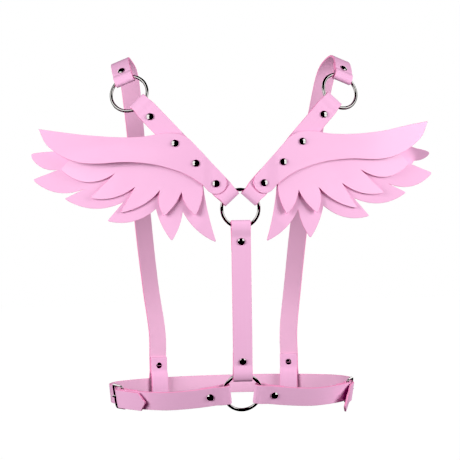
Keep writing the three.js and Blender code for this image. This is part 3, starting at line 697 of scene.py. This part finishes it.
# Wings: three sheets of leather on each side, cut into feathers and riveted in a stack on the back strap.
# The top sheet is one long feather whose round end lies on the strap; the lower two are cut into a fan.
# They hang freely beyond the strap, so the two sides hang a little differently.
SHEET_THICK = 1.6
SHEET_EDGE = 0.3
OUTLINE_STEP = 1.8
TIP_STEPS = 8
SHEET_GRID = 3.4
SHEET_MARGIN = 1.6
MITRE_LIMIT = 1.5
BACK_FEATHERS = [
    # tip, notch after it, belly of the outer and the inner edge, share of the tip rounded off
    ((213.6, -99.6), (184.5, -115.3), 0.8, 6, 0.16),
    ((211, -124.8), (158.4, -135.9), 0, 8.5, 0.08),
    ((179, -145.4), (119.6, -150.4), 0, 8.3, 0.06),
    ((136.1, -169.3), (86.5, -157.8), 0, 6.8, 0.05),
    ((71.5, -191), (59.5, -161), 2, 1.9, 0.06),
    ((25.8, -193.3), (38, -135.7), 4.4, -1.5, 0.05),
]
MIDDLE_FEATHERS = [
    ((182.5, -115.3), (127.7, -120.9), 1, 11, 0.06),
    ((153.3, -145.4), (107.5, -134.8), 0, 5.6, 0.06),
    ((123.1, -161.2), (82.2, -138.9), 0, 4.3, 0.06),
    ((79.2, -165.5), (60.5, -141.3), 3, 2, 0.06),
    ((47, -166), (38.6, -136), 2.6, 2.1, 0.06),
]
BACK_ROOT = [(38.5, -112), (58, -91), (75, -87), (125, -90), (187, -96.5)]
MIDDLE_ROOT = [(39, -112), (58.5, -90.5), (75, -86.5), (125, -89.5), (165, -99)]
TOP_EDGE = [
    (51.4, -87), (57.4, -83.4), (65, -81.2), (77, -80.6), (98, -83.6), (124, -83.8), (153, -80.8),
    (182.5, -74.6), (203.8, -70.7),
]
TOP_BELLY = [
    (203.8, -70.7), (197, -86), (187, -95.6), (174, -103.6), (161, -108.5), (145, -110.6), (120, -109.7),
    (95, -111.5), (77, -115.5), (59.5, -121.6), (49, -127.2), (38.8, -134.4),
]
TOP_EDGE_STEPS = 10
TOP_BELLY_STEPS = 8
TOP_END = (25.2, -132.6)
TOP_END_RADIUS = 11.4
TOP_END_TURN = np.radians(np.linspace(-43, -223, 22))
STRAP_STRETCH = (70, 150)
CURL_LINE = 110
SLOPE_REACH = 0.5
WAVE_HEIGHT = 0.7
WAVE_ACROSS = 23
WAVE_UP = 19
TIPS_OFF = 0.5
OUTER_TIPS_OFF = 0.3
BELLY_MIDDLE = 128
BELLY_SPREAD = 42
# Spans in x, from where something begins to where it is full
STEP_DOWN = (27.5, 40)
WAVES_BEGIN = (55, 115)
INNER_TIPS_END = (82, 106)
OUTER_TIPS_RISE = (120, 180)
TOP_TIP_MOVES = (140, 190)
FEATHER_TURNS = (177, 194)
# The same in z, downward
BELLY_HANGS = (-92, -110)
TIPS_RISE = (-118, -163)
INNER_TIPS_RISE = (-137, -167)
# Lines along the uppermost back feather: height where it begins to turn, rise for each millimetre
FEATHER_MIDDLE = (-104, 0.1)
FEATHER_FOOT = (-113.8, -0.25)
FEATHER_FOOT_BLEND = 1.8
FEATHER_LENGTH = 36
HANG = {
    # turn of the waves, how far the top sheet's lower edge and the middle sheet's inner tips stand off,
    # moves of the top sheet's tip and of the uppermost back feather's tip, and that feather's own turn
    "right": {
        "waves": 0.4, "belly": 1.0, "tips": 2.4,
        "top_tip": (0, 0, 0), "feather_tip": (-3.6, 0, -3.4), "feather_turn": 0.86,
    },
    "left": {
        "waves": 1.9, "belly": 6.0, "tips": 2.0,
        "top_tip": (0, 0, -2.5), "feather_tip": (0, 0, 1.4), "feather_turn": 0,
    },
}

chord_flat = unit(chord[[0, 2]])


def eased(value, start, end):
    """From 0 at the start to 1 at the end, smoothly, and level beyond both."""
    share = np.clip((value - start) / (end - start), 0, 1)
    return share * share * (3 - 2 * share)


def wing_depth(x, z, lift, curl):
    """Depth of a sheet's inner face: level with the strap's face beside it, curled at the outer end."""
    offset = np.stack([x, z], -1) - shoulder_at[[0, 2]]
    along = offset @ chord_flat
    aside = chord_flat[0] * offset[..., 1] - chord_flat[1] * offset[..., 0]
    at, forward, out, across = back_run.frame(np.clip(along, *STRAP_STRETCH))
    reached = (at[..., [0, 2]] - shoulder_at[[0, 2]]) @ chord_flat
    slope_along = forward[..., 1] / np.hypot(forward[..., 0], forward[..., 2])
    slope_aside = -across[..., 1] / np.hypot(across[..., 0], across[..., 2])
    level_part = at[..., 1] + slope_along * (along - reached) + slope_aside * aside
    return level_part + lift / out[..., 1] + curl * np.maximum(0, x - CURL_LINE) ** 2


def bellied(start, end, belly, shares):
    """Points on an edge that bellies out from straight."""
    way = end - start
    middle = (start + end) / 2 + 2 * belly * unit(np.array((-way[1], way[0])))
    shares = np.asarray(shares)[:, None]
    return (1 - shares) ** 2 * start + 2 * shares * (1 - shares) * middle + shares**2 * end


def step_count(start, end):
    return max(3, int(np.linalg.norm(end - start) / OUTLINE_STEP) + 1)


def even_steps(start, end):
    return start + (end - start) * np.linspace(0, 1, step_count(start, end))[1:, None]


def feather_outline(root, feathers):
    """Along the root, then round each feather, as one closed line of points."""
    line = [np.array(root[0], float)]
    for corner in np.array(root[1:], float):
        line.extend(even_steps(line[-1], corner))
    for tip, notch, outer, inner, blunt in feathers:
        tip, notch = np.array(tip, float), np.array(notch, float)
        start = line[-1]
        to_tip = np.linspace(0, 1 - blunt, step_count(start, tip))[1:]
        to_notch = np.linspace(blunt, 1, step_count(tip, notch))
        out_edge = bellied(start, tip, outer, to_tip)
        in_edge = bellied(tip, notch, inner, to_notch)
        share = np.linspace(0, 1, TIP_STEPS)[1:-1, None]
        rounded = (1 - share) ** 2 * out_edge[-1] + 2 * share * (1 - share) * tip + share**2 * in_edge[0]
        line.extend([*out_edge, *rounded, *in_edge])
    line.extend(even_steps(line[-1], line[0])[:-1])
    return np.array(line)


def top_outline():
    """Along the upper edge, back along the belly and round the end on the strap."""
    edge = smooth_line(TOP_EDGE, TOP_EDGE_STEPS)
    belly = smooth_line(TOP_BELLY, TOP_BELLY_STEPS)[1:]
    turn = TOP_END_TURN[:, None]
    end = np.array(TOP_END) + TOP_END_RADIUS * np.hstack([np.cos(turn), np.sin(turn)])
    joint = even_steps(belly[-1], end[0])[:-1]
    back = even_steps(end[-1], edge[0])[:-1]
    return np.vstack([edge, belly, joint, end, back])


def inside(points, outline):
    """Which points lie inside a closed outline."""
    ahead = np.roll(outline, -1, 0)
    crossed = np.zeros(len(points), bool)
    for (ax, ay), (bx, by) in zip(outline, ahead):
        if ay != by:
            spans = (points[:, 1] > ay) != (points[:, 1] > by)
            crossed ^= spans & (points[:, 0] < (bx - ax) * (points[:, 1] - ay) / (by - ay) + ax)
    return crossed


def signed_area(outline):
    """The area inside a closed outline, less than nothing where the outline runs clockwise."""
    ahead = np.roll(outline, -1, 0)
    return np.sum(outline[:, 0] * ahead[:, 1] - outline[:, 1] * ahead[:, 0]) / 2


def grown(outline, distance):
    """The outline moved out, or in where the distance is less than nothing."""
    before, after = outline - np.roll(outline, 1, 0), np.roll(outline, -1, 0) - outline
    first, second = (unit(np.stack([way[:, 1], -way[:, 0]], 1)) for way in (before, after))
    normal = unit(first + second + 1e-9)
    reach = 1 / np.maximum(np.sum(normal * first, 1), 1 / MITRE_LIMIT)
    return outline + normal * reach[:, None] * distance * np.sign(signed_area(outline))


def sheet_mesh(outline, depth):
    """Points, faces and marks of a sheet with rounded cut edges; depth gives both faces at x and z."""
    turn = np.radians((90, 60, 30, 0))
    rim_out = SHEET_EDGE * (np.cos(turn) - 1)
    rim_in = SHEET_EDGE * (1 - np.sin(turn)) / SHEET_THICK
    rims = [*zip(rim_out, rim_in), *zip(rim_out[::-1], 1 - rim_in[::-1])]
    low, high = outline.min(0), outline.max(0)
    across, up = np.meshgrid(*(np.arange(a, b, SHEET_GRID) for a, b in zip(low, high)))
    grid = np.stack([across, up], -1)
    grid[1::2, :, 0] += SHEET_GRID / 2
    grid = grid.reshape(-1, 2)
    grid = grid[inside(grid, grown(outline, -SHEET_MARGIN))]
    count = len(outline)
    flat = np.vstack([grown(outline, rims[0][0]), grid])
    border = [(i, (i + 1) % count) for i in range(count)]
    triangles, sources = delaunay_2d_cdt([Vector(point) for point in flat], border, [], 1, 1e-5)[2:4]
    order = [source[0] for source in sources]
    triangles = [[order[i] for i in triangle] for triangle in triangles]
    front, rear = depth(flat[:, 0], flat[:, 1])
    points = [np.stack([flat[:, 0], front, flat[:, 1]], 1), np.stack([flat[:, 0], rear, flat[:, 1]], 1)]
    loops = [np.arange(count)]
    for out, share in rims[1:-1]:
        line = grown(outline, out)
        front, rear = depth(line[:, 0], line[:, 1])
        loops.append(np.arange(count) + sum(len(part) for part in points))
        points.append(np.stack([line[:, 0], front + share * (rear - front), line[:, 1]], 1))
    loops.append(np.arange(count) + len(flat))
    faces = triangles + [[i + len(flat) for i in triangle[::-1]] for triangle in triangles]
    for here, there in zip(loops, loops[1:]):
        faces.extend(np.stack([here, np.roll(here, -1), np.roll(there, -1), there], 1).tolist())
    edge = np.concatenate([np.zeros(2 * len(flat)), np.ones(count * (len(rims) - 2))])
    under = np.zeros(len(edge))
    under[len(flat):2 * len(flat)] = 1
    return np.vstack(points), faces, {"edge": edge, "under": under}


def ripple(x, z, turn):
    """The slight waves of a hanging sheet, the same through all three layers."""
    waves = np.sin(x / WAVE_ACROSS + turn) * np.sin(z / WAVE_UP + 2 * turn)
    return WAVE_HEIGHT * eased(x, *WAVES_BEGIN) * waves


def lies_flat(x, z, hang):
    return np.zeros_like(x)


def tips_stand_off(x, z, hang):
    """The feather tips of the middle sheet stand off those behind, the inner ones most."""
    inner = hang["tips"] * eased(z, *INNER_TIPS_RISE) * (1 - eased(x, *INNER_TIPS_END))
    return inner + TIPS_OFF * eased(z, *TIPS_RISE) + OUTER_TIPS_OFF * eased(x, *OUTER_TIPS_RISE)


def belly_stands_off(x, z, hang):
    """The lower edge of the top sheet stands a little off the feathers below it."""
    return hang["belly"] * np.exp(-(((x - BELLY_MIDDLE) / BELLY_SPREAD) ** 2)) * eased(z, *BELLY_HANGS)


def wing_faces(lifts, curl, stand_off, hang):
    """Both faces of a sheet, as depths at x and z."""
    def depth(x, z):
        lift = lifts[0] + eased(x, *STEP_DOWN) * (lifts[1] - lifts[0])
        lift = lift + stand_off(x, z, hang) + ripple(x, z, hang["waves"])
        rear = wing_depth(x, z, lift, curl)
        rise = wing_depth(x + SLOPE_REACH, z, lift, curl) - wing_depth(x - SLOPE_REACH, z, lift, curl)
        return rear - SHEET_THICK * np.hypot(1, rise / (2 * SLOPE_REACH)), rear
    return depth


def unevenly_hung(points, sheet, hang):
    """The top sheet's tip moved, and the back sheet's uppermost feather turned about its length."""
    if sheet == "wing_top":
        return points + np.outer(eased(points[:, 0], *TOP_TIP_MOVES), hang["top_tip"])
    if sheet == "wing_back":
        past = np.maximum(0, points[:, 0] - FEATHER_TURNS[0])
        foot, middle = (start + slope * past for start, slope in (FEATHER_FOOT, FEATHER_MIDDLE))
        share = eased(points[:, 0], *FEATHER_TURNS) * eased(points[:, 2] - foot, 0, FEATHER_FOOT_BLEND)
        turn = hang["feather_turn"] * share
        aside = points[:, 2] - middle
        points = points + np.outer(share * (past / FEATHER_LENGTH) ** 2, hang["feather_tip"])
        points[:, 1] -= aside * np.sin(turn)
        points[:, 2] -= aside * (1 - np.cos(turn))
    return points


back_lift = LAP + STRAP_THICK / 2 + LAYER_GAP
middle_lift = back_lift + SHEET_THICK + LAYER_GAP
top_lift = middle_lift + SHEET_THICK + LAYER_GAP
back_outline = feather_outline(BACK_ROOT, BACK_FEATHERS)
middle_outline = feather_outline(MIDDLE_ROOT, MIDDLE_FEATHERS)
SHEETS = {
    # outline, lift over the strap at its end and on the wing, curl of the outer end, what stands off
    "wing_back": (back_outline, (back_lift, back_lift), 0.0021, lies_flat),
    "wing_middle": (middle_outline, (middle_lift, middle_lift), 0.0017, tips_stand_off),
    "wing_top": (top_outline(), (back_lift, top_lift), 0.001, belly_stands_off),
}
for sheet, (outline, lifts, curl, stand_off) in SHEETS.items():
    area = abs(signed_area(outline))
    width, length = outline.max(0) - outline.min(0)
    for name, mirror in SIDES.items():
        depth = wing_faces(lifts, curl, stand_off, HANG[name])
        points, faces, marks = sheet_mesh(outline, depth)
        points = press(unevenly_hung(points, sheet, HANG[name]), back_rivets[1:])
        feathers = add_leather(f"{sheet}_{name}", points * mirror, faces, marks)
        width * MM
        length * MM

# Rivets: nickel-plated double-cap rivets through every fold and through the wings,
# each a round post with a domed cap outside and a flat cap against the body.
CAP_RADIUS = 3.75
CAP_WALL = 0.55
CAP_ROUND = 0.7
CAP_SLOPE = math.radians(32)
CAP_TUCK = 0.15
POST_RADIUS = 1.5
FOOT_RADIUS = 3.4
FOOT_THICK = 0.8
FOOT_RIM = 0.05
LATHE_CENTRE = 0.01
RIVET_STEPS = 40
ASKEW = (0.3, 0.2, 1)

DOUBLE = (-LAP - STRAP_THICK / 2, LAP + STRAP_THICK / 2)
BENT = (DOUBLE[0] - 2 * LAYER_GAP, DOUBLE[1])
SINGLE = (LAP - STRAP_THICK / 2, LAP + STRAP_THICK / 2)
WING_STACK = (SINGLE[0], top_lift + SHEET_THICK)
END_STACK = (DOUBLE[0], back_lift + SHEET_THICK)


def cap_line():
    """Radius and height of a cap from its seat up: a low wall, a rounded rim and a shallow dome."""
    rim = np.linspace(0, np.pi / 2 - CAP_SLOPE, 7)
    rim_radius = CAP_RADIUS - CAP_ROUND * (1 - np.cos(rim))
    rim_height = CAP_WALL + CAP_ROUND * np.sin(rim)
    dome = np.linspace(CAP_SLOPE, 0.002, 12)[1:]
    ball = rim_radius[-1] / math.sin(CAP_SLOPE)
    dome_height = rim_height[-1] + ball * (np.cos(dome) - math.cos(CAP_SLOPE))
    return [
        (CAP_RADIUS - CAP_TUCK, 0), (CAP_RADIUS, CAP_TUCK),
        *zip(rim_radius, rim_height),
        *zip(ball * np.sin(dome), dome_height),
    ]


def rivet_mesh(at, out, low, high):
    """A lathe-turned rivet that holds the layers between two heights."""
    seat, foot = high - RIVET_DENT / 2, low + RIVET_DENT / 2
    turn = np.linspace(0, np.pi / 2, 14)[:-1]
    cap = [(radius, seat + height) for radius, height in cap_line()]
    sole = [(FOOT_RADIUS * math.cos(a), foot - FOOT_THICK * math.sin(a)) for a in turn]
    profile = [
        (LATHE_CENTRE, foot - FOOT_THICK), *sole[::-1],
        (FOOT_RADIUS, foot + FOOT_RIM), (POST_RADIUS, foot + FOOT_RIM),
        (POST_RADIUS, seat), *cap,
    ]
    radius, height = np.array(profile).T
    first = unit(np.cross(out, ASKEW))
    second = np.cross(out, first)
    angle = np.linspace(0, 2 * np.pi, RIVET_STEPS, endpoint=False)[:, None]
    around = first * np.cos(angle) + second * np.sin(angle)
    points = at + around[None] * radius[:, None, None] + out * height[:, None, None]
    return points.reshape(-1, 3), grid_faces(len(profile), RIVET_STEPS, False)


PAIRED_RIVETS = {
    "back_strap_rivet": (back_rivets[0], BENT),
    "shoulder_rivet": (shoulder_rivet, BENT),
    "front_loop_rivet": (loop_rivet, DOUBLE),
    "waist_rivet": (waist_rivet, BENT),
    "wing_rivet_1": (back_rivets[1], WING_STACK),
    "wing_rivet_2": (back_rivets[2], WING_STACK),
    "wing_rivet_3": (back_rivets[3], END_STACK),
}
for rivet, (place, stack) in PAIRED_RIVETS.items():
    points, faces = rivet_mesh(*place, *stack)
    for name, mirror in SIDES.items():
        add_piece(f"{rivet}_{name}", points * mirror, faces, nickel, "nickel")
for end, place in spine_rivets.items():
    add_piece(f"spine_rivet_{end}", *rivet_mesh(*place, *BENT), nickel, "nickel")

# Floor: a wide pale floor, well below the harness, that glows as a studio floor in full light does,
# so that it runs into the white room. It throws no light of its own on the harness.
WHITE = (1, 1, 1, 1)
FLOOR_HEIGHT = -1.45
FLOOR_HALF = 30.0
FLOOR_PALE = (0.07, 0.07, 0.07, 1)
FLOOR_GREY = (0.05, 0.05, 0.05, 1)
FLOOR_GLOW = 1.0

floor_mesh = bpy.data.meshes.new("floor")
floor_ways = ((-1, -1), (1, -1), (1, 1), (-1, 1))
floor_corners = [(x * FLOOR_HALF, y * FLOOR_HALF, FLOOR_HEIGHT) for x, y in floor_ways]
floor_mesh.from_pydata(floor_corners, [], [(0, 1, 2, 3)])
floor = bpy.data.objects.new("floor", floor_mesh)
bpy.context.scene.collection.objects.link(floor)
floor_paint, start = new_finish("pale_floor")
mottle = start.node("ShaderNodeTexNoise", None, {"Scale": 3.0, "Detail": 4})
paint = start.node("ShaderNodeBsdfPrincipled", None, {
    "Base Color": mottle.blend(FLOOR_GREY, FLOOR_PALE),
    "Roughness": 0.8,
    "Emission Color": WHITE,
    "Emission Strength": FLOOR_GLOW,
})
start.node("ShaderNodeOutputMaterial", None, {"Surface": paint})
floor_mesh.materials.append(floor_paint)
floor.visible_diffuse = False
floor.visible_glossy = False

# Light: a white room with three softboxes, one on each side behind the harness and one in front of it.
# Dim screens that only the metal mirrors give the nickel its glints, and two more, that only some of
# the wing sheets mirror, give the leather its sheen.
ROOM_FILL = 0.13
ROOM_SHINE = 0.003
LIGHT_AIM = Vector((0, -0.08, -0.17))
SOFTBOXES = {
    # place, width, height, power
    "left": ((-1.17, -0.79, 0.12), 0.8, 0.8, 23),
    "right": ((1.17, -0.79, 0.12), 0.8, 0.8, 23),
    "front": ((0.0, 1.9, -0.15), 1.6, 1.6, 42),
}
GLINTS = {
    # distance to the front, height of the middle, height of the screen
    "upper": (-0.56, 0.2, 0.6),
    "lower": (-0.56, -0.3, 0.4),
    "front": (0.75, 0.1, 0.9),
}
GLINT_ASIDE = 0.64
GLINT_WIDTH = 0.75
GLINT_BRIGHTNESS = 1.3
LOW_GLINT_RIVETS = ("wing_rivet", "back_strap_rivet", "waist_rivet")
SHEEN_PLACE = np.array((0.74, -0.7, 0.0))
SHEEN_SIZE = 0.6
SHEEN_BRIGHTNESS = 4.2
SHEEN_SHEETS = {"left": ("wing_middle",), "right": ("wing_top", "wing_middle")}


def hang_light(name, place, width, height, power):
    """A rectangular light that faces the harness and that the camera doesn't see."""
    light = bpy.data.objects.new(name, bpy.data.lights.new(name, "AREA"))
    light.data.shape = "RECTANGLE"
    light.data.size = width
    light.data.size_y = height
    light.data.energy = power
    light.location = place
    aim = LIGHT_AIM - Vector(place)
    light.rotation_euler = aim.to_track_quat("-Z", "Y").to_euler()
    light.visible_camera = False
    bpy.context.scene.collection.objects.link(light)
    return light


def hang_screen(name, place, width, height, brightness, pieces):
    """A light that is only mirrored, and only by the given pieces."""
    screen = hang_light(name, place, width, height, brightness * math.pi * width * height)
    screen.visible_diffuse = False
    mirrors = bpy.data.collections.new(f"{name}_pieces")
    for piece in pieces:
        mirrors.objects.link(piece)
    for entry in mirrors.collection_objects:
        entry.light_linking.link_state = "INCLUDE"
    screen.light_linking.receiver_collection = mirrors


meshes = [piece for piece in bpy.data.objects if piece.type == "MESH"]
metal = [piece for piece in meshes if nickel.name in piece.data.materials]
for name, lamp in SOFTBOXES.items():
    hang_light(f"softbox_{name}", *lamp).visible_glossy = False
for side, other in (("left", "right"), ("right", "left")):
    mirror = SIDES[side]
    near = [piece for piece in metal if not ("rivet" in piece.name and other in piece.name)]
    low = [piece for piece in near if piece.name.startswith(LOW_GLINT_RIVETS)]
    mirrors = {"upper": near, "lower": low, "front": metal}
    for name, (forward, middle, height) in GLINTS.items():
        place = mirror * (GLINT_ASIDE, forward, middle)
        hang_screen(f"glint_{name}_{side}", place, GLINT_WIDTH, height, GLINT_BRIGHTNESS, mirrors[name])
    sheets = [bpy.data.objects[f"{sheet}_{side}_piece"] for sheet in SHEEN_SHEETS[side]]
    hang_screen(f"sheen_{side}", mirror * SHEEN_PLACE, SHEEN_SIZE, SHEEN_SIZE, SHEEN_BRIGHTNESS, sheets)

world = bpy.data.worlds.new("white_room")
bpy.context.scene.world = world
world.use_nodes = True
world.node_tree.nodes.clear()
room = Value(world.node_tree)
seen = room.node("ShaderNodeLightPath", output="Is Camera Ray")
shone = room.node("ShaderNodeLightPath", output="Is Glossy Ray")
strength = seen + (1 - seen) * (ROOM_FILL * (1 - shone) + ROOM_SHINE * shone)
sky = room.node("ShaderNodeBackground", None, {"Color": WHITE, "Strength": strength})
room.node("ShaderNodeOutputWorld", None, {"Surface": sky})
